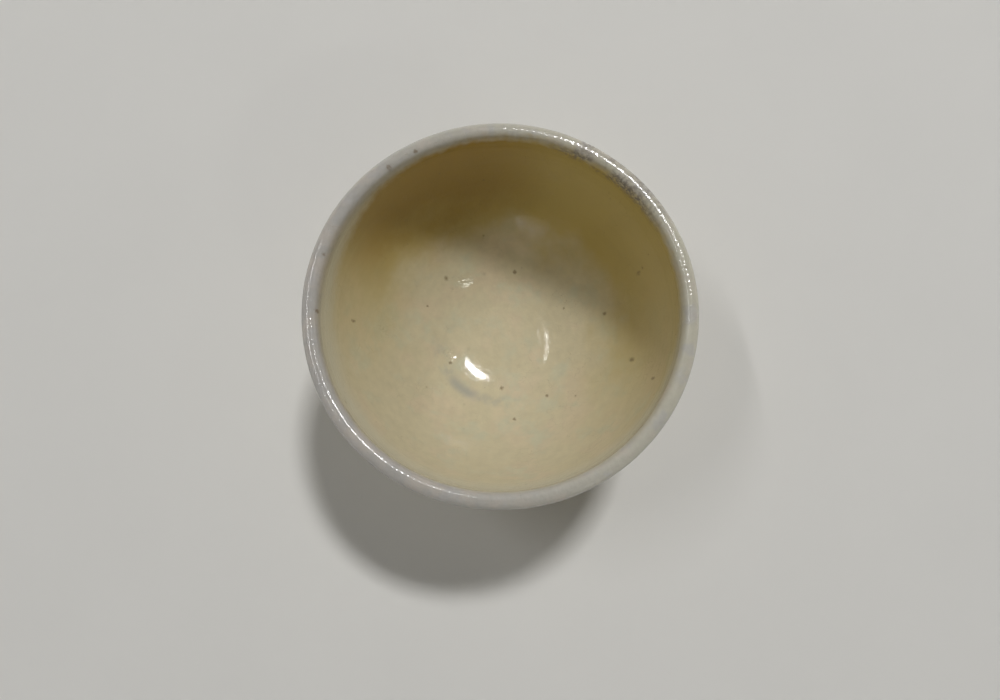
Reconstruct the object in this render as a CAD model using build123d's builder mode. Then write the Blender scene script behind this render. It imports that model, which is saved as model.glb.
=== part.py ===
"""Tea bowl for whisked powdered tea: a thrown stoneware bowl on a foot ring, under three coats of glaze.

Every piece is turned about +Z, in millimetres, with the origin at the centre of the face the bowl stands on.
Five pieces are fired together into one rigid pot, and they meet face to face:
  clay_body    the thrown wall and floor, with a tea well inside and a seat for the foot below
  foot_ring    the ring of clay luted into that seat, which the bowl stands on
  inner_glaze  the coat inside, from the tea well up to the lip coat
  lip_glaze    the paler second dip over the lip, lapping inside and outside
  outer_glaze  the coat outside, from the lip coat down to the glaze line above the foot
"""

from build123d import *

import os
from math import atan2, pi, tan

# Sizes of the bare fired clay. The glaze stands proud of them by its own thickness.
# The belly is the widest place. It swells past the lip a little below it, and from there the wall is one
# long curve to the foot.
bowl_height = 77.6
mouth_radius = 60.0
lip_thickness = 4.0
lip_flat = 0.34
belly_swell = 0.6
belly_drop = 5.6
belly_thickness = 4.4
floor_thickness = 10.0

# Tea well: the sunk disc in the middle of the floor, with a soft step round it.
well_radius = 24.5
well_step = 1.0
well_step_width = 1.6
well_dish = 3.1
well_blend = 1.2

# Foot ring, the seat that it is luted into, and the turned base of the body around and inside it.
foot_height = 7.0
foot_radius = 27.4
foot_taper = 0.9
foot_wall = 5.6
foot_seat = 1.0
foot_bevel = 0.9
foot_shoulder = 1.8
shoulder_round = 1.2
base_dome = 1.3
nub_radius = 6.0
nub_height = 1.0

# Glaze coats
glaze_thickness = 0.4
lip_band_inside = 7.0
lip_band_outside = 9.0
bare_band = 5.5

# Heights and radii that follow from the sizes above
belly_radius = mouth_radius + belly_swell
belly_height = bowl_height - belly_drop
floor_height = foot_height + floor_thickness
seat_height = foot_height + foot_seat
dome_height = foot_height + base_dome
glaze_line = foot_height + bare_band
foot_bore_radius = foot_radius - foot_wall
base_radius = foot_radius + foot_shoulder
lip_middle = mouth_radius - lip_thickness / 2
glazed_height = bowl_height + glaze_thickness
section_reach = 2 * belly_radius

# Corners of the body's half section, as (radius, height)
base_edge = (base_radius, foot_height)
belly_outside = (belly_radius, belly_height)
lip_outside = (mouth_radius, bowl_height)
lip_inside = (mouth_radius - lip_thickness, bowl_height)
belly_inside = (belly_radius - belly_thickness, belly_height)
well_edge = (well_radius, floor_height)
well_foot = (well_radius - well_step_width, floor_height - well_step)
well_centre = (0, floor_height - well_step - well_dish)
nub_tip = (0, dome_height - nub_height)
nub_edge = (nub_radius, dome_height)
bore_edge = (foot_bore_radius, foot_height)

# The wall's two faces lean outwards by twice these angles at the lip, and so set how large a round fits it.
outer_half_lean = atan2(lip_outside[0] - belly_outside[0], belly_drop)
inner_half_lean = atan2(lip_inside[0] - belly_inside[0], belly_drop)
round_shares = tan(pi / 4 + outer_half_lean) + tan(pi / 4 - inner_half_lean)
lip_round = (lip_thickness - lip_flat) / round_shares


def nearest(vertices, *points):
    """The vertices that stand at the given (radius, height) points of a section."""
    return [vertices.sort_by_distance((*point, 0))[0] for point in points]


# Clay body: up the outside, over the lip, down the inside, across the well, and back under the base.
with BuildPart() as clay_body:
    with BuildSketch(Plane.XZ) as body_section:
        with BuildLine():
            TangentArc(belly_outside, base_edge, tangent=(0, -1))
            TangentArc(belly_outside, lip_outside, tangent=(0, 1))
            Line(lip_outside, lip_inside)
            TangentArc(belly_inside, lip_inside, tangent=(0, 1))
            TangentArc(belly_inside, well_edge, tangent=(0, -1))
            Line(well_edge, well_foot)
            TangentArc(well_centre, well_foot, tangent=(1, 0))
            Line(well_centre, nub_tip)
            TangentArc(nub_tip, nub_edge, tangent=(1, 0))
            Line(nub_edge, bore_edge)
            Polyline(
                bore_edge,
                (foot_bore_radius, seat_height),
                (foot_radius, seat_height),
                (foot_radius, foot_height),
                base_edge,
            )
        make_face()
        fillet(nearest(body_section.vertices(), lip_outside, lip_inside), lip_round)
        fillet(nearest(body_section.vertices(), well_edge, well_foot), well_blend)
        fillet(nearest(body_section.vertices(), base_edge), shoulder_round)
    revolve(axis=Axis.Z)

# Foot ring: fills the seat, then narrows to the face it stands on, with both edges of that face bevelled.
with BuildPart() as foot_ring:
    with BuildSketch(Plane.XZ) as foot_section:
        with BuildLine():
            Polyline(
                (foot_bore_radius, seat_height),
                (foot_radius, seat_height),
                (foot_radius, foot_height),
                (foot_radius - foot_taper, 0),
                (foot_bore_radius + foot_taper, 0),
                bore_edge,
                close=True,
            )
        make_face()
        stand_corners = foot_section.vertices().group_by(Axis.Y)[0]
        chamfer(stand_corners, foot_bevel)
    revolve(axis=Axis.Z)

# One skin of even thickness all round the body, which the three coats are cut from.
with BuildSketch(Plane.XZ) as skin_section:
    add(body_section.sketch_local)
    offset(amount=glaze_thickness, kind=Kind.ARC)
    add(body_section.sketch_local, mode=Mode.SUBTRACT)
    Rectangle(section_reach, glazed_height, align=Align.MIN, mode=Mode.INTERSECT)

# What the lip coat laps over: one reach down the inside of the wall, and another down the outside.
with BuildSketch(Plane.XZ) as lip_zone:
    with Locations((0, bowl_height - lip_band_inside)):
        Rectangle(lip_middle, section_reach, align=Align.MIN)
    with Locations((lip_middle, bowl_height - lip_band_outside)):
        Rectangle(section_reach, section_reach, align=Align.MIN)

with BuildPart() as lip_glaze:
    with BuildSketch(Plane.XZ):
        add(skin_section.sketch_local)
        add(lip_zone.sketch_local, mode=Mode.INTERSECT)
    revolve(axis=Axis.Z)

# Without its lip, the skin falls into an outer and an inner part, and the inner one ends higher.
with BuildSketch(Plane.XZ) as wall_skins:
    add(skin_section.sketch_local)
    add(lip_zone.sketch_local, mode=Mode.SUBTRACT)
lower_skin, upper_skin = wall_skins.sketch_local.faces().sort_by(lambda face: face.bounding_box().min.Y)

with BuildPart() as inner_glaze:
    with BuildSketch(Plane.XZ):
        add(upper_skin)
    revolve(axis=Axis.Z)

with BuildPart() as outer_glaze:
    with BuildSketch(Plane.XZ):
        add(lower_skin)
        with Locations((0, glaze_line)):
            Rectangle(section_reach, section_reach, align=Align.MIN, mode=Mode.INTERSECT)
    revolve(axis=Axis.Z)

pieces = {
    "clay_body": clay_body,
    "foot_ring": foot_ring,
    "inner_glaze": inner_glaze,
    "lip_glaze": lip_glaze,
    "outer_glaze": outer_glaze,
}
os.makedirs("parts", exist_ok=True)
for name, piece in pieces.items():
    piece.part.label = name
    export_step(piece.part, f"parts/{name}.step")
    print(name, round(piece.part.volume), "mm3")
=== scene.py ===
"""A thrown tea bowl with its glazes, foot and studio.

The bowl is turned from one line that runs from the middle of the tea well, up the inside of the wall, over
the lip, down the outside and in under the base. The clay body follows the whole line. Each coat of glaze
follows its own stretch of it, lifted off the clay by the thickness of the coat. Lengths are in metres.
"""

import math

import bpy
import numpy as np
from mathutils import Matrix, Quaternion, Vector


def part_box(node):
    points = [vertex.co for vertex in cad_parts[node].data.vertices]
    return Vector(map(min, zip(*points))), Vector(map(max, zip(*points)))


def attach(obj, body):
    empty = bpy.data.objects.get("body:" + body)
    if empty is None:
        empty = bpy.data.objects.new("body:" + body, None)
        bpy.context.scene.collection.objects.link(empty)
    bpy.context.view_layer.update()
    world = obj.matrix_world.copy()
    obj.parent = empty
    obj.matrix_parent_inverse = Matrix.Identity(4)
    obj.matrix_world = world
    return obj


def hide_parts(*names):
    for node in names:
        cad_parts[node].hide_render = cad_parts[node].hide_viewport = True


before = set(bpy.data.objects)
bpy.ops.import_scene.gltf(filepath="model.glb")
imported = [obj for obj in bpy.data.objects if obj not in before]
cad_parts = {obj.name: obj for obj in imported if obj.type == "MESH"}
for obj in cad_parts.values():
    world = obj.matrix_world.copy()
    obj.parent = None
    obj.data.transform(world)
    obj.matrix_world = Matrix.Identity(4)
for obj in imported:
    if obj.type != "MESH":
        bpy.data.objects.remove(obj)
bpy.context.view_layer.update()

bl_info = {
    "name": "Thrown Tea Bowl",
    "version": (1, 0, 0),
    "blender": (4, 5, 0),
    "location": "3D View > Sidebar > Tea Bowl",
    "description": "Makes a thrown and glazed tea bowl piece by piece, and a studio to see it in",
    "category": "Object",
}

MM = 0.001

# Points in each ring round the axis
COAT_SEGMENTS = 384
CLAY_SEGMENTS = 320
SWEEP_SEGMENTS = 128

# Reach over which corners are softened: the step and rise round the well, the whole skin, and the foot ring
WELL_SOFTNESS = 2.6 * MM
SKIN_SOFTNESS = 0.35 * MM
FOOT_SOFTNESS = 0.45 * MM

# Power of the sine and cosine that draw the lip's quarter ovals, and how strongly rows gather where a line
# bends, as the length of straight line that a turn of one radian counts for
LIP_POWER = 0.8
CROWDING = 6 * MM

# Roughness of the clay body and of the foot ring, how far the coats inside and outside tuck in under the lip
# coat, and how far the lip coat laps over them
BODY_ROUGHNESS = 0.03 * MM
FOOT_ROUGHNESS = 0.04 * MM
TUCK = 2.5 * MM
LAP = 1.5 * MM

clay_low, clay_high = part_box("clay_body")
ring_low, ring_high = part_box("foot_ring")
inner_low, inner_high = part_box("inner_glaze")
lip_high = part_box("lip_glaze")[1]
outer_low, outer_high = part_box("outer_glaze")


# ---------------------------------------------------------------- settings


def number(name, description, default, **kind):
    """A number that can be set in the sidebar."""
    return bpy.props.FloatProperty(name=name, description=description, default=default, min=0, **kind)


def length(name, description, default):
    """A length that can be set in the sidebar. Its default is given in millimetres."""
    return number(name, description, default * MM, unit="LENGTH", precision=5)


def colour(name, description, default):
    """An opaque colour that can be set in the sidebar."""
    return bpy.props.FloatVectorProperty(
        name=name, description=description, default=(*default, 1.0), min=0, max=1, size=4, subtype="COLOR"
    )


class BowlSizes(bpy.types.PropertyGroup):
    """Sizes of the clay that the frame's boxes don't give."""

    lip_thickness: length("Lip thickness", "Width of the bare lip", 4.0)
    lip_crest: length("Lip crest", "Distance of the highest line of the lip from its outside", 2.0)
    lip_round: length("Lip round", "Height over which the lip is rounded outside", 2.0)
    lip_slope: length("Lip slope", "Height over which the lip is rounded inside", 3.0)
    belly_drop: length("Belly drop", "Depth of the widest place below the lip", 5.6)
    belly_swell: length("Belly swell", "How far the widest place stands outside the lip", 0.6)
    well_radius: length("Well radius", "Radius of the tea well", 24.5)
    well_step: length("Well step", "Height of the step round the well", 1.0)
    well_step_width: length("Well step width", "Width of that step", 1.6)
    well_flat: length("Well flat", "Radius of the flat middle of the well", 8.0)
    well_dish: length("Well dish", "Depth of the dished floor below its step", 3.1)
    foot_wall: length("Foot wall", "Thickness of the foot ring", 5.6)
    foot_taper: length("Foot taper", "How far the ring narrows on each side", 0.9)
    foot_shoulder: length("Foot shoulder", "Width of the base outside the ring", 1.8)
    base_dome: length("Base dome", "Rise of the base inside the ring", 1.3)
    nub_radius: length("Nub radius", "Radius of the nub that the turning leaves", 6.0)
    nub_height: length("Nub height", "Height of that nub", 1.0)


class HandMarks(bpy.types.PropertyGroup):
    """How far the bowl strays from a true turned shape."""

    out_of_round: length("Out of round", "Stray of the lip from a true circle", 0.35)
    lip_sway: length("Lip sway", "Rise and fall of the lip", 0.3)
    ridge_depth: length("Ridge depth", "Height of the throwing ridges outside", 0.12)
    ridge_pitch: length("Ridge pitch", "Distance from one of those ridges to the next", 7.5)
    ring_depth: length("Ring depth", "Height of the faint throwing rings inside", 0.006)
    glaze_swell: length("Glaze swell", "Unevenness of the coats over a fingertip's width", 0.02)
    glaze_ripple: length("Glaze ripple", "Fine unevenness of the coats", 0.004)


class GlazeColours(bpy.types.PropertyGroup):
    """Colours of the glazes and of the bare clay. Some of them carry painted shade or painted light."""

    cream: colour("Cream", "Glaze over most of the bowl", (0.665, 0.595, 0.41))
    rosy: colour("Rosy", "Warm patches in the cream", (0.69, 0.595, 0.42))
    grey: colour("Grey", "Cool patches in the cream", (0.63, 0.60, 0.435))
    # The next two are partly the glaze's own colour where thin, partly painted shade on the far wall in
    # shadow
    straw_and_shade: colour("Straw", "Thinner glaze on the fired side of the wall", (0.55, 0.42, 0.12))
    amber_and_shade: colour("Amber", "Thinnest glaze, where the fire was hottest", (0.39, 0.25, 0.035))
    pool: colour("Pool", "Thick glaze in the ring round the well", (0.33, 0.35, 0.35))
    # Lighter than the lip coat: painted light on the upright inside wall below the lip
    veil_and_painted_light: colour("Veil", "Pale coat where it runs down the inside of the wall", (0.68, 0.65, 0.52))
    lip: colour("Lip", "Pale coat over the lip", (0.56, 0.535, 0.435))
    # Greyer colour of the coat and painted shade, on the side of the lip away from bearing 20 degrees
    lip_shade: colour("Lip shade", "The same coat on its greyer side", (0.465, 0.445, 0.415))
    smoke: colour("Smoke", "Dark patch where smoke touched the lip", (0.20, 0.175, 0.165))
    iron: colour("Iron", "Specks of iron in the glaze", (0.16, 0.10, 0.045))
    clay: colour("Clay", "Bare fired clay", (0.50, 0.36, 0.23))
    scorch: colour("Scorch", "Orange flush of the clay beside the glaze", (0.47, 0.24, 0.11))


class StudioSettings(bpy.types.PropertyGroup):
    """Camera and lights."""

    sight_distance: length("Sight distance", "From the camera to the middle of the mouth", 209.2)
    sight_elevation: number(
        "Sight elevation",
        "Angle above the horizon at which the camera sees the mouth",
        math.radians(77.0),
        subtype="ANGLE",
    )
    aim_drop: number(
        "Aim drop",
        "Angle by which the camera is aimed below the middle of the mouth",
        math.radians(3.62),
        subtype="ANGLE",
    )
    lens: number("Lens", "Focal length of the camera", 24.73, unit="CAMERA")
    key_power: number("Key power", "Power of the key light", 46.0, unit="POWER")
    floor: colour("Floor", "The pale sweep that the bowl stands on", (0.78, 0.77, 0.74))


# ---------------------------------------------------------------- the turned line


def upright_arc(start, end, count=200):
    """Points of the arc that leaves start straight up or down and ends at end.

    Its centre is level with start, as far off as makes start and end equally distant from it.
    """
    (start_r, start_z), (end_r, end_z) = start, end
    centre = (start_r**2 - end_r**2 - (end_z - start_z) ** 2) / (2 * (start_r - end_r))
    turn = np.linspace(0, math.atan2(end_z - start_z, end_r - centre), count)
    radius = start_r - centre
    return np.column_stack((centre + radius * np.cos(turn), start_z + radius * np.sin(turn)))


def level_arc(start, end, count=200):
    """Points of the arc that leaves start level and ends at end."""
    (start_r, start_z), (end_r, end_z) = start, end
    reach, rise = end_r - start_r, end_z - start_z
    radius = (reach**2 + rise**2) / (2 * rise)
    turn = np.linspace(0, math.asin(reach / radius), count)
    return np.column_stack((start_r + radius * np.sin(turn), start_z + radius * (1 - np.cos(turn))))


def lip_quarter(side, crest, count=60):
    """Points of a quarter of a squarish oval that leaves side upright and reaches crest level.

    It is an ellipse with its sine and cosine raised to a power below one, which flattens its top.
    """
    turn = np.linspace(0, math.pi / 2, count)
    radius = crest[0] + (side[0] - crest[0]) * np.abs(np.cos(turn)) ** LIP_POWER
    return np.column_stack((radius, side[1] + (crest[1] - side[1]) * np.sin(turn) ** LIP_POWER))


def run_of(points):
    """Distance along the line from its first point to each point."""
    steps = np.hypot(*np.diff(points, axis=0).T)
    return np.concatenate(([0], np.cumsum(steps)))


def soften(points, reach, step=0.1 * MM, closed=False):
    """The line again, with each point the bell-weighted mean of those within a few times reach of it.

    Past its ends an open line goes on as it would through a point mirror, so the ends stay where they are.
    """
    run = run_of(points)
    even = np.linspace(0, run[-1], int(run[-1] / step) + 1)
    even_points = np.column_stack([np.interp(even, run, column) for column in points.T])
    half = int(3 * reach / step)
    weight = np.exp(-0.5 * (np.arange(-half, half + 1) * step / reach) ** 2)
    weight /= weight.sum()
    if closed:
        padded = np.concatenate((even_points[-half - 1 : -1], even_points, even_points[1 : half + 1]))
    else:
        padded = np.pad(even_points, ((half, half), (0, 0)), mode="reflect", reflect_type="odd")
    return np.column_stack([np.convolve(column, weight, mode="valid") for column in padded.T])


class Line:
    """A line in the bowl's half section, as radius and height, that can be read at any distance along it.

    The open side of the surface that it turns is on its left.
    """

    def __init__(self, points):
        self.points = points
        self.run = run_of(points)
        along = np.gradient(points, self.run, axis=0)
        along /= np.hypot(*along.T)[:, None]
        self.normals = np.column_stack((-along[:, 1], along[:, 0]))
        self.bend = np.abs(np.gradient(np.unwrap(np.arctan2(along[:, 1], along[:, 0])), self.run))

    def at(self, distance, lift=0.0):
        """Radius and height at each distance along the line, lifted off it by lift along its normal."""
        read = [np.interp(distance, self.run, column) for column in (*self.points.T, *self.normals.T)]
        radius, height, normal_r, normal_z = read
        size = np.hypot(normal_r, normal_z)
        return radius + lift * normal_r / size, height + lift * normal_z / size

    def reach_of(self, height, outside):
        """Distance along the line at which the wall passes a height, on its inside or its outside."""
        crest = int(np.argmax(self.points[:, 1]))
        if outside:
            heights, run = self.points[crest:, 1], self.run[crest:]
            return float(np.interp(-height, -heights, run))
        return float(np.interp(height, self.points[:crest, 1], self.run[:crest]))

    def crowd(self, start, end, count):
        """Distances from start to end, closer together where the line bends."""
        fine = np.linspace(start, end, 4000)
        weight = 1 + CROWDING * np.interp(fine, self.run, self.bend)
        share = np.concatenate(([0], np.cumsum((weight[1:] + weight[:-1]) / 2)))
        return np.interp(np.linspace(0, share[-1], count), share, fine)


def clay_lines(sizes):
    """The skin of the clay from the middle of the well to the edge of the base, and the base from there in.

    The well is flat in the middle and curls up in an arc to the step round it. The wall is one arc from the
    step to the belly, upright there, and another to the lip. Two squarish quarter ovals round the lip. The
    outside is two arcs of the same kind down to the base.
    """
    lip_top = clay_high.z
    belly_height = lip_top - sizes.belly_drop
    belly_out = (clay_high.x, belly_height)
    belly_in = (inner_high.x, belly_height)
    lip_radius = clay_high.x - sizes.belly_swell
    lip_in = (lip_radius - sizes.lip_thickness, lip_top)
    crest = (lip_radius - sizes.lip_crest, lip_top)
    well_foot_height = inner_low.z + sizes.well_dish
    well_foot = (sizes.well_radius - sizes.well_step_width, well_foot_height)
    well_edge = (sizes.well_radius, well_foot_height + sizes.well_step)
    base_height = clay_low.z
    base_edge = (ring_high.x + sizes.foot_shoulder, base_height)

    well_middle = np.linspace((0, inner_low.z), (sizes.well_flat, inner_low.z), 50, endpoint=False)
    floor = np.concatenate((well_middle, level_arc((sizes.well_flat, inner_low.z), well_foot)))
    wall = upright_arc(belly_in, well_edge)[::-1]
    inside = soften(np.concatenate((floor, wall)), WELL_SOFTNESS)
    turn_in = upright_arc(belly_in, lip_in)
    turn_in = turn_in[turn_in[:, 1] < lip_top - sizes.lip_slope]
    turn_out = upright_arc(belly_out, (lip_radius, lip_top))
    turn_out = turn_out[turn_out[:, 1] < lip_top - sizes.lip_round]
    over = (lip_quarter(turn_in[-1], crest), lip_quarter(turn_out[-1], crest)[::-1])
    outside = upright_arc(belly_out, base_edge)
    skin = np.concatenate((inside, turn_in[1:], *over, turn_out[::-1], outside[1:]))

    seat_height = ring_high.z
    bore = ring_high.x - sizes.foot_wall
    dome = (sizes.nub_radius, base_height + sizes.base_dome)
    nub = level_arc((0, dome[1] - sizes.nub_height), dome)[::-1]
    seat = [(ring_high.x, base_height), (ring_high.x, seat_height)]
    seat += [(bore, seat_height), (bore, base_height)]
    base = np.concatenate(([base_edge], seat, nub))
    return skin, base


def foot_line(sizes):
    """Closed section of the foot ring: up the bore, over the seat, down the outside and back underneath."""
    bore = ring_high.x - sizes.foot_wall
    shoulder = clay_low.z
    corners = [
        (bore + sizes.foot_taper, ring_low.z),
        (bore, shoulder),
        (bore, ring_high.z),
        (ring_high.x, ring_high.z),
        (ring_high.x, shoulder),
        (ring_high.x - sizes.foot_taper, ring_low.z),
    ]
    middle = ((corners[0][0] + corners[-1][0]) / 2, ring_low.z)
    return Line(soften(np.array([middle, *corners, middle]), FOOT_SOFTNESS, closed=True))


# ---------------------------------------------------------------- hand marks


def ease(values, low, high):
    """0 below low, 1 above high, and a smooth S between."""
    share = np.clip((values - low) / (high - low), 0, 1)
    return share * share * (3 - 2 * share)


def waves(points, shortest, longest, count, seed):
    """Gentle relief of about -1 to 1: the sum of plane cosine waves of lengths in the given range."""
    draw = np.random.default_rng(seed)
    total = np.zeros(points.shape[:-1])
    for _ in range(count):
        direction = draw.normal(size=3)
        direction /= np.linalg.norm(direction)
        wave_length = draw.uniform(shortest, longest)
        phase = draw.uniform(0, 2 * math.pi)
        total += np.cos(points @ direction * (2 * math.pi / wave_length) + phase)
    return total / math.sqrt(count / 2) / 2


def turned(radius, height, bearing):
    """Points at the given radius, height and bearing round the axis."""
    x, y, z = np.broadcast_arrays(radius * np.cos(bearing), radius * np.sin(bearing), height)
    return np.stack((x, y, z), axis=-1)


def hand_thrown(points, marks):
    """The points moved as a thrown wall strays: not at all at the foot, and the full stray at the lip.

    The radius and the height each get a few low harmonics of the bearing.
    """
    x, y, z = np.moveaxis(points, -1, 0)
    bearing = np.arctan2(y, x)
    radius = np.hypot(x, y)
    rise = z / clay_high.z
    oval = 0.7 * np.cos(2 * bearing) + 0.2 * np.cos(3 * (bearing - 1.9)) + 0.15 * np.cos(5 * (bearing - 0.2))
    stray = marks.out_of_round * oval * rise**1.5
    sway = 0.6 * np.cos(2 * (bearing - 2.0)) + 0.4 * np.cos(3 * (bearing - 0.6))
    lift = marks.lip_sway * sway * rise**3
    return turned(radius + stray * ease(radius, 0, 20 * MM), z + lift, bearing)


def throwing_rings(reach, bearing, depth):
    """Faint uneven rings left by the fingers: cosines of the reach with pitches of 2 to 9 mm, some spiral."""
    draw = np.random.default_rng(5)
    total = 0
    for pitch in (2.3, 3.1, 4.3, 5.9, 8.7):
        spiral = draw.integers(-1, 2)
        total = total + np.cos(2 * math.pi * reach / (pitch * MM) + spiral * bearing + draw.uniform(0, 6.28))
    return depth * total


# ---------------------------------------------------------------- meshes


def ring_quads(ring_count, segments):
    """Faces between each ring of points and the next, the last ring going back to the first."""
    index = np.arange(ring_count * segments).reshape(ring_count, segments)
    after = np.roll(index, -1, axis=1)
    return np.stack((index, np.roll(index, -1, axis=0), np.roll(after, -1, axis=0), after), axis=-1)


def fan(pole, near, far):
    """Faces from a pole to the pairs of points near and far."""
    return np.column_stack((np.full(len(near), pole), near, far)).tolist()


def add_piece(name, points, faces):
    """A smooth object made of these points and faces."""
    mesh = bpy.data.meshes.new(name)
    mesh.from_pydata(points.tolist(), [], faces)
    mesh.shade_smooth()
    mesh.update()
    piece = bpy.data.objects.new(name, mesh)
    bpy.context.scene.collection.objects.link(piece)
    return piece


def skin_mesh(name, rings, first_pole=None, last_pole=None):
    """A closed mesh over rings of points, each ring round the axis and counter-clockwise from above.

    Without poles the last ring joins back to the first. A pole is a point that closes an end with a fan.
    """
    quads = ring_quads(*rings.shape[:2])
    points = rings.reshape(-1, 3)
    faces = []
    if first_pole is not None:
        quads = quads[:-1]
        faces += fan(len(points), quads[0, :, 0], quads[0, :, 3])
        faces += fan(len(points) + 1, quads[-1, :, 2], quads[-1, :, 1])
        points = np.concatenate((points, [first_pole, last_pole]))
    faces += quads.reshape(-1, 4).tolist()
    return add_piece(name, points, faces)


def hand_over(piece, node, material):
    """Lets the piece stand for a CAD node, with the given material, under the root body."""
    piece.data.materials.append(material)
    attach(piece, "root")
    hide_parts(node)


def bearings(count):
    """Evenly spaced bearings round the axis, as a row."""
    return np.linspace(0, 2 * math.pi, count, endpoint=False)[None, :]


def coat_rings(line, marks, rows, back_rows, start, end, thickness, ridges):
    """Rings of a coat of glaze: its open face from start to end along the line, then back along the clay.

    start and end are distances along the line for each bearing. thickness gives the coat's depth from the
    distances to its start and its end. Relief is added to it: swells of a fingertip's width, a ripple, and
    ridges, which gives the height of the throwing marks from the distance along the line and the bearing.
    """
    bearing = bearings(COAT_SEGMENTS)
    front_share = (rows - rows[0]) / (rows[-1] - rows[0])
    back_share = np.linspace(1, 0, back_rows)
    front = start + front_share[:, None] * (end - start)
    depth = thickness(front - start, end - front)
    flat = turned(*line.at(front), bearing)
    relief = marks.glaze_swell * waves(flat, 9 * MM, 20 * MM, 24, 1)
    relief += marks.glaze_ripple * waves(flat, 2.2 * MM, 5 * MM, 60, 2)
    relief += ridges(front, bearing)
    settled = ease(depth, 0, 0.3 * MM)
    open_face = turned(*line.at(front, depth + relief * settled), bearing)
    back = start + back_share[:, None] * (end - start)
    clay_face = turned(*line.at(back), bearing)
    return hand_thrown(np.concatenate((open_face, clay_face)), marks)


# ---------------------------------------------------------------- shader nodes

ORIGIN = (0.0, 0.0, 0.0)
WHITE = (1.0, 1.0, 1.0, 1.0)


class Value:
    """An output of a node and the tree it is in. Signs of arithmetic between values make Math nodes."""

    def __init__(self, tree, socket):
        self.tree = tree
        self.socket = socket

    def __add__(self, other):
        return maths("ADD", self, other)

    def __sub__(self, other):
        return maths("SUBTRACT", self, other)

    def __rsub__(self, other):
        return maths("SUBTRACT", other, self)

    def __mul__(self, other):
        return maths("MULTIPLY", self, other)

    def __truediv__(self, other):
        return maths("DIVIDE", self, other)

    def __rtruediv__(self, other):
        return maths("DIVIDE", other, self)


def put(kind, inputs, *wanted, tree=None, **settings):
    """Adds a shader node, sets its properties and feeds its inputs, in their tree unless one is given.

    Gives the wanted outputs, by name or place: several as a list, one as it is, and the first by default.
    """
    given = dict(inputs)
    tree = tree or next(value.tree for value in given.values() if isinstance(value, Value))
    node = tree.nodes.new("ShaderNode" + kind)
    for name, value in settings.items():
        setattr(node, name, value)
    for name, value in given.items():
        if isinstance(value, Value):
            tree.links.new(value.socket, node.inputs[name])
        else:
            node.inputs[name].default_value = value
    values = [Value(tree, node.outputs[key]) for key in wanted or [0]]
    return values if len(values) > 1 else values[0]


def end_tree(kind, value):
    """Feeds a value to the output of its tree, which is of the given kind."""
    output = value.tree.nodes.new("ShaderNode" + kind)
    value.tree.links.new(value.socket, output.inputs[0])


def maths(operation, *values):
    """Result of a Math node."""
    return put("Math", enumerate(values), operation=operation)


def vector(operation, *values):
    """Result of a Vector Math node that gives a vector."""
    return put("VectorMath", enumerate(values), operation=operation)


def ramp(value, low, high):
    """0 where value is at low, 1 where it is at high, and a smooth S between."""
    return put("MapRange", {0: value, 1: low, 2: high}, interpolation_type="SMOOTHSTEP")


def blend(share, first, second, mode="MIX"):
    """Colour that goes from first to second with share."""
    return put("Mix", {0: share, 6: first, 7: second}, 2, data_type="RGBA", blend_type=mode)


def darken(colour, value):
    """The colour with each of its parts times value."""
    return blend(1.0, colour, put("CombineColor", dict.fromkeys(range(3), value)), "MULTIPLY")


def noise(position, size, detail=2.0, roughness=0.5, offset=0.0):
    """Cloud noise whose clouds are about size across, moved by offset so that no two are alike."""
    moved = vector("ADD", position, (offset,) * 3)
    return put("TexNoise", {"Vector": moved, "Scale": 1.0 / size, "Detail": detail, "Roughness": roughness})


def stray(position, reach, size, offset, roughness=0.6):
    """Cloud noise that strays both ways from 0, over reach in all, to make a border wander."""
    return (noise(position, size, 3.0, roughness, offset) - 0.5) * reach


def cells(position, size):
    """Cells of about size: the distance from a cell's middle, in cells, and two values drawn for the cell."""
    away, shade = put("TexVoronoi", {"Vector": position, "Scale": 1.0 / size}, "Distance", "Color")
    return away, *put("SeparateColor", {0: shade}, 0, 1)


def split(position):
    """The three parts of a position, and its distance from the axis."""
    x, y, z = put("SeparateXYZ", {0: position}, 0, 1, 2)
    return x, y, z, maths("SQRT", x * x + y * y)


def cosine(degrees):
    """Cosine of an angle in degrees, which may be a plain number."""
    if isinstance(degrees, Value):
        return maths("COSINE", maths("RADIANS", degrees))
    return math.cos(math.radians(degrees))


def facing(position, bearing, spread):
    """1 on the side of the bowl at a bearing, falling to 0 at spread from it. Both are in degrees."""
    x, y, z, flat = split(position)
    share = (x * cosine(bearing) + y * cosine(bearing - 90.0)) / maths("MAXIMUM", flat, 0.001)
    return ramp(share, cosine(spread), 1.0)


def past_crest(flat):
    """0 inside the crest of the lip and 1 outside it, from the distance from the axis in millimetres."""
    return ramp(flat, 57.0, 59.0)


# ---------------------------------------------------------------- shader groups

# What makes each group, with the group's outputs and its inputs' defaults
GROUPS = {}


def shader_group(name, *outputs, **inputs):
    """Keeps the function below it as the maker of a group. It gives the group's outputs in their order."""

    def keep(maker):
        GROUPS[name] = (maker, outputs, inputs)
        return maker

    return keep


def socket_name(key):
    """A word or words joined by underscores, as the name of a socket."""
    return key.replace("_", " ").capitalize()


def socket_kind(default):
    """Kind of socket for a number, for a place of three numbers or for a colour of four."""
    parts = len(default) if isinstance(default, tuple) else 1
    return {1: "NodeSocketFloat", 3: "NodeSocketVector", 4: "NodeSocketColor"}[parts]


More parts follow.
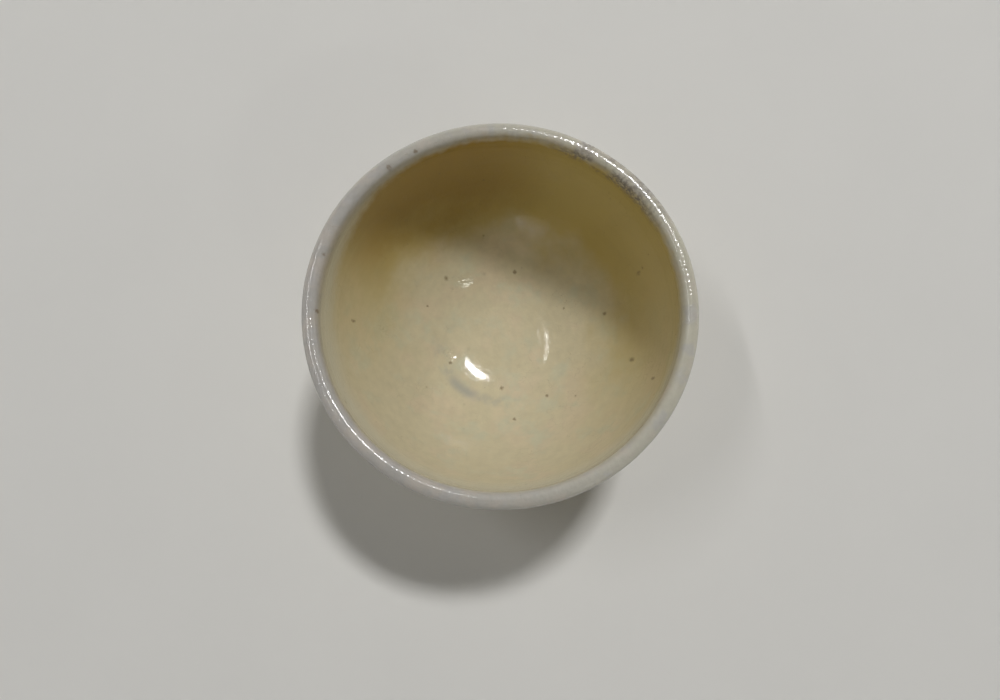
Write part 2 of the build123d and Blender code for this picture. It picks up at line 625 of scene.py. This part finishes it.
def make_group(name):
    """Builds a shader group. Its first input is the position in millimetres."""
    maker, outputs, inputs = GROUPS[name]
    group = bpy.data.node_groups.new(name, "ShaderNodeTree")
    for key, default in {"position": ORIGIN, **inputs}.items():
        kind = socket_kind(default)
        made = group.interface.new_socket(socket_name(key), in_out="INPUT", socket_type=kind)
        made.default_value = default
    for output in outputs:
        kind = socket_kind(WHITE if output == "Color" else 0.0)
        group.interface.new_socket(output, in_out="OUTPUT", socket_type=kind)
    given = group.nodes.new("NodeGroupInput").outputs
    result = group.nodes.new("NodeGroupOutput").inputs
    values = maker(**{key: Value(group, given[socket_name(key)]) for key in ("position", *inputs)})
    for output, value in zip(outputs, [values] if isinstance(values, Value) else values):
        group.links.new(value.socket, result[output])
    return group


def effect(name, position, **values):
    """Places one of the shader groups where the position is, with its own values. Gives its outputs."""
    group = bpy.data.node_groups.get(name) or make_group(name)
    inputs = {"Position": position}
    for key, value in values.items():
        inputs[socket_name(key)] = value
    return put("Group", inputs, *GROUPS[name][1], node_tree=group)


patch_colours = {"ground": WHITE, "warm": WHITE, "cool": WHITE}


@shader_group("Glaze Mottling", "Color", "Cloud", **patch_colours, patch_size=16.0, strength=1.0)
def glaze_mottling(position, ground, warm, cool, patch_size, strength):
    """Cloudy colour of a wood-fired cream glaze: two kinds of patch over the ground, and a fine cloud."""
    warm_share = ramp(noise(position, patch_size, 3.0, 0.55), 0.46, 0.66)
    cool_share = ramp(noise(position, patch_size * 0.8, 3.0, 0.6, 40.0), 0.5, 0.7)
    patched = blend(warm_share * strength, ground, warm)
    patched = blend(cool_share * strength, patched, cool)
    cloud = noise(position, patch_size * 0.22, 4.0, 0.6, 80.0)
    return darken(patched, cloud * 0.24 + 0.88), cloud


@shader_group("Iron Specks", "Speck", "Halo", cell=7.0, share=0.3, size=0.4)
def iron_specks(position, cell, share, size):
    """Specks of iron: round spots in some of the cells of a cell pattern, each with a soft halo."""
    away, chosen, drawn = cells(position, cell)
    is_speck = maths("LESS_THAN", chosen, share)
    radius = size * (drawn * 0.7 + 0.5)
    core = ramp(away * cell, radius, radius * 0.4)
    return core * is_speck, ramp(away * cell, radius * 3.0, 0.0) * is_speck


@shader_group("Crazing", "Crack", cell=4.5, width=0.05, patchiness=0.5)
def crazing(position, cell, width, patchiness):
    """Fine cracks in the glaze: the edges between cells, bent by noise, and seen only in some patches."""
    bend = put("TexNoise", {"Vector": position, "Scale": 0.3, "Detail": 2.0}, "Color")
    bent = vector("ADD", position, vector("MULTIPLY", bend, (4.0, 4.0, 4.0)))
    edge = put("TexVoronoi", {"Vector": bent, "Scale": 1.0 / cell}, feature="DISTANCE_TO_EDGE")
    patch = noise(position, 12.0, 2.0, 0.5, 15.0)
    return ramp(edge, width / cell, 0.0) * ramp(patch, patchiness, patchiness + 0.15)


lip_borders = {"inside": 67.5, "lean": 17.0, "bearing": 64.0, "outside": 65.0}


@shader_group("Lip Fade", "Pale", **lip_borders, softness=16.0, ripple=6.0)
def lip_fade(position, inside, lean, bearing, outside, softness, ripple):
    """Where the pale lip coat has taken over from the cream, by height, with a soft and uneven border.

    Inside, the border leans: it stands highest, and is sharpest, on the side at the bearing. Outside it is
    level.
    """
    height, flat = split(position)[2:]
    side = facing(position, bearing, 180.0)
    is_outside = past_crest(flat)
    is_inside = 1.0 - is_outside
    border = is_outside * outside + is_inside * ((side - 0.5) * lean + inside)
    wandering = height + stray(position, ripple, 14.0, 120.0) + stray(position, 4.0, 3.0, 140.0)
    half = softness * 0.5 * (side * is_inside * -0.65 + 1.0)
    return ramp(wandering - border, half * -1.0, half)


@shader_group("Pooled Ring", "Pool", ring_radius=23.6, width=3.6, bearing=232.0, spread=75.0)
def pooled_ring(position, ring_radius, width, bearing, spread):
    """Glaze pooled in a ring round the well, deepest at one bearing and gone at a spread from it."""
    wandering = split(position)[3] + stray(position, 3.0, 9.0, 60.0)
    ring = ramp(maths("ABSOLUTE", wandering - ring_radius), width, 0.0)
    broken = ramp(noise(position, 6.0, 3.0, 0.6, 165.0), 0.38, 0.62)
    share = maths("MAXIMUM", broken * 0.6, facing(position, bearing, 22.0))
    return ring * facing(position, bearing, spread) * share


@shader_group("Fired Side", "Fired", bearing=120.0, spread=120.0, foot=26.0, full=58.0)
def fired_and_shaded_side(position, bearing, spread, foot, full):
    """One side of the wall from a height upwards, uneven at its border: yellower glaze and painted shade."""
    wandering = split(position)[2] + stray(position, 24.0, 22.0, 200.0, 0.55)
    return facing(position, bearing, spread) * ramp(wandering, foot, full)


@shader_group("Pinholes", "Hole", cell=1.4, share=0.2, size=0.18)
def pinholes(position, cell, share, size):
    """Pinholes in a thick glaze: tiny round dents in a share of small cells."""
    away, chosen = cells(position, cell)[:2]
    return ramp(away * cell, size, 0.0) * maths("LESS_THAN", chosen, share)


@shader_group("Smoke Patch", "Smoke", height=75.5, reach=5.0, bearing=50.0, spread=28.0)
def smoke_patch(position, height, reach, bearing, spread):
    """Smoke-stained patch on one side of the lip, dappled by fine noise."""
    level = ramp(maths("ABSOLUTE", split(position)[2] - height), reach, 0.0)
    dapple = ramp(noise(position, 1.2, 4.0, 0.65, 33.0), 0.36, 0.62)
    cloud = ramp(noise(position, 7.0, 2.0, 0.5, 77.0), 0.3, 0.55)
    return facing(position, bearing, spread) * level * dapple * cloud


@shader_group("Clay Grain", "Color", "Height", ground=WHITE, flush=WHITE, light=WHITE, dark=WHITE, grain=0.8)
def clay_grain(position, ground, flush, light, dark, grain):
    """Sandy fired clay: a cloudy ground, light and dark grains, and the relief of both."""
    away, drawn = cells(position, grain)[:2]
    core = ramp(away, 0.5, 0.2)
    light_grain = core * maths("LESS_THAN", drawn, 0.10)
    dark_grain = core * maths("GREATER_THAN", drawn, 0.93)
    shown = blend(ramp(noise(position, 9.0, 4.0, 0.6, 5.0), 0.35, 0.68), ground, flush)
    shown = blend(light_grain * 0.6, shown, light)
    shown = blend(dark_grain * 0.8, shown, dark)
    return shown, noise(position, 0.5, 4.0, 0.7, 9.0) * 0.12 + light_grain * 0.08


# ---------------------------------------------------------------- materials

# Patches in the lip's pale coat, and the clay's cloud and grains
LIP_WARM = (0.58, 0.52, 0.45, 1.0)
LIP_COOL = (0.48, 0.47, 0.46, 1.0)
CLAY_FLUSH = (0.44, 0.29, 0.18, 1.0)
LIGHT_GRAIN = (0.72, 0.62, 0.48, 1.0)
DARK_GRAIN = (0.09, 0.06, 0.04, 1.0)

# Height in millimetres over which the pale coat goes from its lighter colour low on the wall, painted light
# that brightens the upright wall, to its colour on the lip
VEIL_AND_LIGHT_HEIGHTS = (70.0, 76.0)

# Relief of the glaze in millimetres: the peel of its skin and what the pale coat adds to that, the depth and
# the sinking of the pitted patches, and the depth of pinholes and cracks
PEEL = 0.06
PALE_PEEL = 0.06
PIT_DEPTH = 0.55
PIT_SINK = 0.5
HOLE_DEPTH = 0.08
CRACK_DEPTH = 0.01

# Iron specks that stand out on the inside: bearing in degrees, then distance from the axis, height and size
# in millimetres
bold_specks = (
    (131, 32, 22, 1.2),
    (78, 28, 20, 1.1),
    (12, 40, 30, 1.0),
    (347, 48, 41, 1.2),
    (203, 21, 16, 1.0),
    (272, 18, 15, 1.2),
    (310, 28, 20, 0.9),
    (280, 31, 22, 0.9),
    (21, 52, 49, 1.1),
    (27, 28, 19, 0.7),
    (155, 31, 22, 0.6),
    (339, 54, 57, 0.9),
    (178, 51, 48, 0.9),
    (128, 57, 77, 1.3),
    (118, 57, 78, 1.0),
    (163, 57, 77, 0.9),
    (181, 56, 76, 1.0),
)

# Patches where the glaze has boiled into fine pits: middle and radius in millimetres, and share of the depth
pitted_places = (
    ((-20.0, -5.1, 15.5), 3.2, 1.0),
    ((19.5, 1.0, 15.2), 9.0, 0.06),
)


def start_material(name):
    """A new material, and in its tree the position on the piece in millimetres."""
    material = bpy.data.materials.new(name)
    material.use_nodes = True
    material.node_tree.nodes.clear()
    place = put("TexCoord", (), "Object", tree=material.node_tree)
    return material, vector("MULTIPLY", place, (1 / MM,) * 3)


def dent(height):
    """The normal of a surface with relief of a height in millimetres."""
    return put("Bump", {"Strength": 1.0, "Distance": MM, "Height": height})


def away_from(position, centre, squash=1.0):
    """Distance of the position from a centre, with the height's part of it shrunk by squash."""
    offset = vector("MULTIPLY", vector("SUBTRACT", position, centre), (1.0, 1.0, squash))
    return put("VectorMath", {0: offset}, "Value", operation="LENGTH")


def bold_speck_mask(position):
    """Mask of the specks that stand out: small, ragged, and longer up and down than across."""
    ragged = noise(position, 0.6, 2.0, 0.6, 3.0) * 1.2 - 0.6
    mask = 0.0
    for bearing, distance, height, size in bold_specks:
        angle = math.radians(bearing)
        centre = (distance * math.cos(angle), distance * math.sin(angle), height)
        away = away_from(position, centre, 0.4) + ragged
        mask = maths("MAXIMUM", mask, ramp(away, size, size * 0.15))
    return mask


def pitted_patches(position):
    """Mask of the small patches beside the well where the glaze has boiled into fine pits."""
    mask = 0.0
    for centre, radius, share in pitted_places:
        patch = ramp(away_from(position, centre), radius, radius * 0.4)
        mask = maths("MAXIMUM", mask, patch * share)
    return mask


def glaze_colour(position, colours, pale, hole, crack, pool, bold, outer):
    """Colour of the glaze, and its fine cloud.

    Layers lie on the mottled cream in their order, each with its mask, its strength and its colour: painted
    shade with yellower glaze on the far side, the pale coat with painted shade on one side of the lip and
    painted light low on the wall, pooled glaze, smoke, and marks of iron.
    """
    cream = {"ground": colours.cream, "warm": colours.rosy, "cool": colours.grey}
    shown, cloud = effect("Glaze Mottling", position, **cream)
    height, flat = split(position)[2:]
    outside = 1.0 if outer else past_crest(flat)
    showing = outside * -0.6 + 1.0
    # Painted shade where the key light's shadow falls on the far wall, partly the glaze's own yellower colour
    straw_and_shade = effect("Fired Side", position, bearing=75.0, spread=155.0, foot=22.0, full=42.0)
    amber_and_shade = effect("Fired Side", position, bearing=116.0, spread=53.0, foot=30.0, full=54.0)
    # Lip coat darker and greyer away from bearing 20 degrees: partly its own colour, partly painted shade
    lip_colour_and_shade = blend(facing(position, 20.0, 180.0), colours.lip_shade, colours.lip)
    lip = {"ground": lip_colour_and_shade, "warm": LIP_WARM, "cool": LIP_COOL, "patch_size": 8.0, "strength": 0.5}
    lip = effect("Glaze Mottling", position, **lip)[0]
    # Painted light: the pale coat lighter low on the upright inside wall than on the lip
    veil_and_painted_light = blend(ramp(height, *VEIL_AND_LIGHT_HEIGHTS), colours.veil_and_painted_light, lip)
    smoke = effect("Smoke Patch", position)
    speck, halo = effect("Iron Specks", position)

    layers = [(straw_and_shade, showing, colours.straw_and_shade), (amber_and_shade, showing, colours.amber_and_shade), (pale, 1.0, veil_and_painted_light)]
    if pool:
        layers.append((effect("Pooled Ring", position), pool, colours.pool))
    layers += [(smoke, 1.0, colours.smoke), (halo, 0.18, colours.iron), (speck, 0.45, colours.iron)]
    if bold:
        layers.append((bold_speck_mask(position), 0.65, colours.iron))
    layers += [(crack, 0.3, colours.iron), (hole, 0.4, colours.iron)]
    for mask, strength, over in layers:
        shown = blend(mask * strength, shown, over)
    return shown, cloud


def glaze_material(name, colours, pool=0.0, bold=False, outer=False):
    """The glossy glaze that all three coats share, cream below and pale at the lip, so that they run on.

    pool is the strength of the pooled ring. bold adds the specks that stand out and the pitted patches. The
    yellower far side with its painted shade shows less on the outside, which is all of an outer coat, and on
    the others is past the crest.
    """
    material, position = start_material(name)
    pale = effect("Lip Fade", position)
    crack = effect("Crazing", position)
    hole = effect("Pinholes", position) * (pale * 0.8 + 0.2)
    shown, cloud = glaze_colour(position, colours, pale, hole, crack, pool, bold, outer)
    relief = noise(position, 1.1, 2.0, 0.5, 21.0) * (pale * PALE_PEEL + PEEL)
    if bold:
        pits = noise(position, 0.9, 1.0, 0.4, 71.0) * PIT_DEPTH - PIT_SINK
        relief = relief + pits * pitted_patches(position)
    relief = relief - hole * HOLE_DEPTH - crack * CRACK_DEPTH
    gloss = cloud * 0.12 + 0.02 + pale * 0.05
    finish = {"Base Color": shown, "Roughness": gloss, "IOR": 1.5, "Normal": dent(relief)}
    end_tree("OutputMaterial", put("BsdfPrincipled", finish))
    return material


def clay_material(colours):
    """Bare fired clay, matt and sandy, flushed orange close under the glaze and drawn with turning lines."""
    name = "Bare Clay"
    if name in bpy.data.materials:
        return bpy.data.materials[name]
    material, position = start_material(name)
    shades = {"ground": colours.clay, "flush": CLAY_FLUSH, "light": LIGHT_GRAIN, "dark": DARK_GRAIN}
    shown, grain = effect("Clay Grain", position, **shades)
    height, flat = split(position)[2:]
    near_glaze = ramp(height + noise(position, 5.0, 3.0, 0.6), 8.0, 13.0)
    shown = blend(near_glaze * 0.8, shown, colours.scorch)
    relief = maths("SINE", (flat + height) * 9.0) * 0.012 + grain
    finish = {"Base Color": shown, "Roughness": grain * 1.5 + 0.72, "Normal": dent(relief)}
    finish["Specular IOR Level"] = 0.25
    end_tree("OutputMaterial", put("BsdfPrincipled", finish))
    return material


# ---------------------------------------------------------------- operators


def clay_skin(scene):
    """The glazed part of the clay's outline, as a line."""
    return Line(soften(clay_lines(scene.tea_bowl_sizes)[0], SKIN_SOFTNESS))


def glaze_depth():
    """Thickness of the coats: how far the glazed lip stands above the bare one."""
    return lip_high.z - clay_high.z


class MakeClayBody(bpy.types.Operator):
    """Makes the thrown clay under the glaze, bare only round the foot"""

    bl_idname = "tea_bowl.make_clay_body"
    bl_label = "Clay Body"

    def execute(self, context):
        marks = context.scene.tea_bowl_marks
        skin, base = clay_lines(context.scene.tea_bowl_sizes)
        line = Line(soften(np.concatenate((skin, base[1:])), SKIN_SOFTNESS))
        rows = line.crowd(0, line.run[-1], 260)[1:-1, None]
        bearing = bearings(CLAY_SEGMENTS)
        flat = turned(*line.at(rows), bearing)
        relief = BODY_ROUGHNESS * waves(flat, 2.0 * MM, 6 * MM, 40, 11)
        rings = hand_thrown(turned(*line.at(rows, relief), bearing), marks)
        poles = [turned(0.0, line.points[end, 1], 0.0) for end in (0, -1)]
        piece = skin_mesh("thrown_body", rings, *poles)
        hand_over(piece, "clay_body", clay_material(context.scene.tea_bowl_colours))
        return {"FINISHED"}


class MakeFootRing(bpy.types.Operator):
    """Makes the foot ring, turned and left bare"""

    bl_idname = "tea_bowl.make_foot_ring"
    bl_label = "Foot Ring"

    def execute(self, context):
        line = foot_line(context.scene.tea_bowl_sizes)
        rows = line.crowd(0, line.run[-1], 121)[:-1, None]
        bearing = bearings(CLAY_SEGMENTS)
        flat = turned(*line.at(rows), bearing)
        relief = FOOT_ROUGHNESS * waves(flat, 1.5 * MM, 7 * MM, 40, 21) * ease(flat[..., 2], 0, 0.6 * MM)
        piece = skin_mesh("turned_foot", turned(*line.at(rows, relief), bearing))
        hand_over(piece, "foot_ring", clay_material(context.scene.tea_bowl_colours))
        return {"FINISHED"}


class MakeInnerGlaze(bpy.types.Operator):
    """Makes the cream coat inside, from the tea well up under the lip coat"""

    bl_idname = "tea_bowl.make_inner_glaze"
    bl_label = "Inner Glaze"

    def execute(self, context):
        marks = context.scene.tea_bowl_marks
        line = clay_skin(context.scene)
        depth = glaze_depth()
        end = line.reach_of(inner_high.z + TUCK, outside=False)

        def thickness(from_start, to_end):
            """The full coat, thinning where it runs under the lip coat."""
            return depth * (0.3 + 0.7 * ease(to_end, 0, TUCK))

        def ridges(reach, bearing):
            """Throwing rings that die out at the pole."""
            return throwing_rings(reach, bearing, marks.ring_depth) * ease(reach, 0, 8 * MM)

        rows = line.crowd(0, end, 200)[1:]
        start = np.full((1, COAT_SEGMENTS), rows[0])
        ends = np.full_like(start, end)
        rings = coat_rings(line, marks, rows, 50, start, ends, thickness, ridges)
        floor = line.points[0, 1]
        piece = skin_mesh("cream_coat", rings, (0, 0, floor + depth), (0, 0, floor))
        material = glaze_material("Cream Glaze", context.scene.tea_bowl_colours, pool=0.6, bold=True)
        hand_over(piece, "inner_glaze", material)
        return {"FINISHED"}


class MakeLipGlaze(bpy.types.Operator):
    """Makes the pale second dip over the lip, lapping the coats inside and outside"""

    bl_idname = "tea_bowl.make_lip_glaze"
    bl_label = "Lip Glaze"

    def execute(self, context):
        marks = context.scene.tea_bowl_marks
        line = clay_skin(context.scene)
        depth = glaze_depth()
        bearing = bearings(COAT_SEGMENTS)
        wander = np.sin(3 * bearing + 1) + 0.5 * np.sin(7 * bearing) + 0.4 * np.sin(13 * bearing + 2)
        wander *= 0.6 * MM
        start = line.reach_of(inner_high.z, outside=False) - LAP + wander
        end = line.reach_of(outer_high.z, outside=True) + LAP - wander

        def thickness(from_start, to_end):
            """Just under the coats below at its borders, then a little over them."""
            nearest = np.minimum(from_start, to_end)
            return depth * (0.8 + 0.35 * ease(nearest, 0, 2 * LAP) - 0.15 * ease(nearest, 2 * LAP, 5 * LAP))

        def ridges(reach, bearing):
            """The rings inside go on under the lip."""
            return throwing_rings(reach, bearing, marks.ring_depth)

        rows = line.crowd(start.mean(), end.mean(), 90)
        piece = skin_mesh("pale_lip", coat_rings(line, marks, rows, 24, start, end, thickness, ridges))
        material = glaze_material("Pale Lip Glaze", context.scene.tea_bowl_colours, bold=True)
        hand_over(piece, "lip_glaze", material)
        return {"FINISHED"}


class MakeOuterGlaze(bpy.types.Operator):
    """Makes the coat outside, from under the lip coat down to a rolled edge above the foot"""

    bl_idname = "tea_bowl.make_outer_glaze"
    bl_label = "Outer Glaze"

    def execute(self, context):
        marks = context.scene.tea_bowl_marks
        line = clay_skin(context.scene)
        depth, roll = glaze_depth(), 0.7 * MM
        bearing = bearings(COAT_SEGMENTS)
        wander = np.sin(2 * bearing + 2) + 0.6 * np.sin(5 * bearing) + 0.35 * np.sin(11 * bearing + 1)
        start = np.full((1, COAT_SEGMENTS), line.reach_of(outer_high.z + TUCK, outside=True))
        end = line.reach_of(outer_low.z, outside=True) + 0.35 * MM * (wander - 1)

        def thickness(from_start, to_end):
            """The full coat, thin where it runs under the lip coat and rolled thick at its lower edge."""
            share = np.clip(to_end / roll, 0, 1)
            edge = np.sqrt(1 - (1 - share) ** 2)
            bulge = 0.35 * np.exp(-(((to_end - 1.5 * roll) / roll) ** 2))
            return depth * np.maximum(edge, 0.04) * (1 + bulge) * (0.3 + 0.7 * ease(from_start, 0, TUCK))

        def ridges(reach, bearing):
            """One spiral ridge down the wall, dying out under the lip and above the glaze line."""
            fade = ease(reach, start.mean() + 4 * MM, start.mean() + 16 * MM)
            fade *= 1 - ease(reach, end.min() - 12 * MM, end.min())
            turn = np.sin(2 * math.pi * reach / marks.ridge_pitch - bearing + 0.6 * np.sin(2 * bearing))
            return (marks.ridge_depth * turn + throwing_rings(reach, bearing, marks.ring_depth)) * fade

        last = end.mean()
        edge_rows = last - np.linspace(2.9, 0, 24) * MM
        rows = np.concatenate((line.crowd(start.mean(), last - 3 * MM, 190), edge_rows))
        piece = skin_mesh("outer_coat", coat_rings(line, marks, rows, 40, start, end, thickness, ridges))
        material = glaze_material("Outer Glaze", context.scene.tea_bowl_colours, outer=True)
        hand_over(piece, "outer_glaze", material)
        return {"FINISHED"}


# Pale sweep: how far it reaches, the radius of the rise at its edge, how far in under the foot it starts, and
# the gap that keeps it off the foot
SWEEP_REACH = 1.5
SWEEP_CURVE = 0.8
SWEEP_TUCK = 2.1 * MM
SWEEP_GAP = 0.02 * MM

# Brightness of the room above the floor, below it, and where the camera sees it, and its colour
LIGHT_ABOVE = 0.01
LIGHT_BELOW = 0.5
BACKDROP = 0.5
ROOM_COLOUR = (1.0, 0.99, 0.96, 1.0)

# Lights: bearing and elevation in degrees, width and height in metres, turn about their own axis in degrees,
# share of the key's power, and colour. All of them stand at one distance from the middle of the mouth.
LIGHTS = (
    ("key", 64, 62.3, (0.42, 0.26), 0, 1.0, (1.0, 1.0, 1.0)),
    ("left", 160, 59, (0.10, 1.1), -63, 0.24, (1.0, 1.0, 1.0)),
    ("low_right", 307, 39, (0.4, 0.08), 0, 0.05, (1.0, 1.0, 0.9)),
)
LIGHT_DISTANCE = 3.0


def floor_material(shade):
    """Pale matt sweep with a faint cloud. It can't be seen from below, so that the foot can."""
    material, position = start_material("Pale Sweep")
    shown = darken(shade, noise(position, 60.0) * 0.04 + 0.98)
    matt = put("BsdfPrincipled", {"Base Color": shown, "Roughness": 0.9, "Specular IOR Level": 0.2})
    under = put("NewGeometry", (), "Backfacing", tree=material.node_tree)
    clear = put("BsdfTransparent", (), tree=material.node_tree)
    end_tree("OutputMaterial", put("MixShader", {0: under, 1: matt, 2: clear}))
    return material


def make_sweep(shade):
    """The floor: rings round the axis, flat from under the foot outwards, then rising in a quarter arc."""
    flat = np.geomspace(ring_high.x - SWEEP_TUCK, SWEEP_REACH - SWEEP_CURVE, 20)
    turn = np.linspace(0, math.pi / 2, 30)[1:]
    radius = np.concatenate((flat, SWEEP_REACH - SWEEP_CURVE + SWEEP_CURVE * np.sin(turn)))[:, None]
    height = np.concatenate((flat * 0, SWEEP_CURVE * (1 - np.cos(turn))))[:, None]
    rings = turned(radius, height + ring_low.z - SWEEP_GAP, bearings(SWEEP_SEGMENTS))
    quads = ring_quads(*rings.shape[:2])[:-1]
    sweep = add_piece("sweep", rings.reshape(-1, 3), quads.reshape(-1, 4).tolist())
    sweep.data.materials.append(floor_material(shade))


def towards(bearing, elevation):
    """Direction at a bearing from +X and an elevation above the floor, both in degrees."""
    level, up = math.radians(bearing), math.radians(elevation)
    return Vector((math.cos(level) * math.cos(up), math.sin(level) * math.cos(up), math.sin(up)))


def area_light(name, aim, size, turn, power, shade):
    """A soft rectangular light that looks at the mouth from a direction, turned about its own axis."""
    light = bpy.data.lights.new(name, "AREA")
    light.shape = "RECTANGLE"
    light.size, light.size_y = size
    light.energy = power
    light.color = shade
    lamp = bpy.data.objects.new(name, light)
    bpy.context.scene.collection.objects.link(lamp)
    lamp.location = Vector((0, 0, lip_high.z)) + aim * LIGHT_DISTANCE
    lamp.rotation_mode = "QUATERNION"
    lamp.rotation_quaternion = aim.to_track_quat("Z", "Y") @ Quaternion((0, 0, 1), turn)


def room():
    """A room that is dim above the floor, bright below it to light the foot, and pale to the camera."""
    world = bpy.data.worlds.new("Room")
    world.use_nodes = True
    tree = world.node_tree
    tree.nodes.clear()
    direction = put("TexCoord", (), "Generated", tree=tree)
    is_below = maths("LESS_THAN", put("SeparateXYZ", {0: direction}, 2), 0.0)
    lighting = is_below * (LIGHT_BELOW - LIGHT_ABOVE) + LIGHT_ABOVE
    seen = put("LightPath", (), "Is Camera Ray", tree=tree)
    strength = put("Mix", {0: seen, 2: lighting, 3: BACKDROP})
    end_tree("OutputWorld", put("Background", {0: ROOM_COLOUR, 1: strength}))
    return world


class SetStage(bpy.types.Operator):
    """Sets up the pale sweep, the lights and the camera"""

    bl_idname = "tea_bowl.set_stage"
    bl_label = "Stage"

    def execute(self, context):
        scene, studio = context.scene, context.scene.tea_bowl_studio
        make_sweep(studio.floor)
        for name, bearing, elevation, size, turn, share, shade in LIGHTS:
            aim = towards(bearing, elevation)
            area_light(name, aim, size, math.radians(turn), studio.key_power * share, shade)
        scene.world = room()
        scene.view_settings.view_transform = "Standard"

        camera = bpy.data.cameras.new("camera")
        camera.lens = studio.lens
        camera.clip_start = 0.01
        holder = bpy.data.objects.new("camera", camera)
        scene.collection.objects.link(holder)
        back, up = math.cos(studio.sight_elevation), math.sin(studio.sight_elevation)
        holder.location = Vector((0, -back, up)) * studio.sight_distance + Vector((0, 0, lip_high.z))
        holder.rotation_euler = (math.pi / 2 - studio.sight_elevation - studio.aim_drop, 0, 0)
        scene.camera = holder
        return {"FINISHED"}


PIECES = (MakeClayBody, MakeFootRing, MakeInnerGlaze, MakeLipGlaze, MakeOuterGlaze, SetStage)


class TeaBowlPanel(bpy.types.Panel):
    """Lists the pieces of the bowl, its stage and their settings"""

    bl_idname = "VIEW3D_PT_tea_bowl"
    bl_label = "Tea Bowl"
    bl_space_type = "VIEW_3D"
    bl_region_type = "UI"
    bl_category = "Tea Bowl"

    def draw(self, context):
        for piece in PIECES:
            self.layout.operator(piece.bl_idname)
        for name, kind in SETTINGS.items():
            settings = getattr(context.scene, name)
            box = self.layout.box()
            for field in kind.__annotations__:
                box.prop(settings, field)


SETTINGS = {
    "tea_bowl_sizes": BowlSizes,
    "tea_bowl_marks": HandMarks,
    "tea_bowl_colours": GlazeColours,
    "tea_bowl_studio": StudioSettings,
}


def register():
    for kind in (*SETTINGS.values(), *PIECES, TeaBowlPanel):
        bpy.utils.register_class(kind)
    for name, kind in SETTINGS.items():
        setattr(bpy.types.Scene, name, bpy.props.PointerProperty(type=kind))


def unregister():
    for name in SETTINGS:
        delattr(bpy.types.Scene, name)
    for kind in (TeaBowlPanel, *PIECES, *SETTINGS.values()):
        bpy.utils.unregister_class(kind)


def main():
    """Registers the add-on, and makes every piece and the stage."""
    register()
    for piece in PIECES:
        getattr(bpy.ops.tea_bowl, piece.bl_idname.split(".")[1])()


if __name__ == "__main__":
    main()
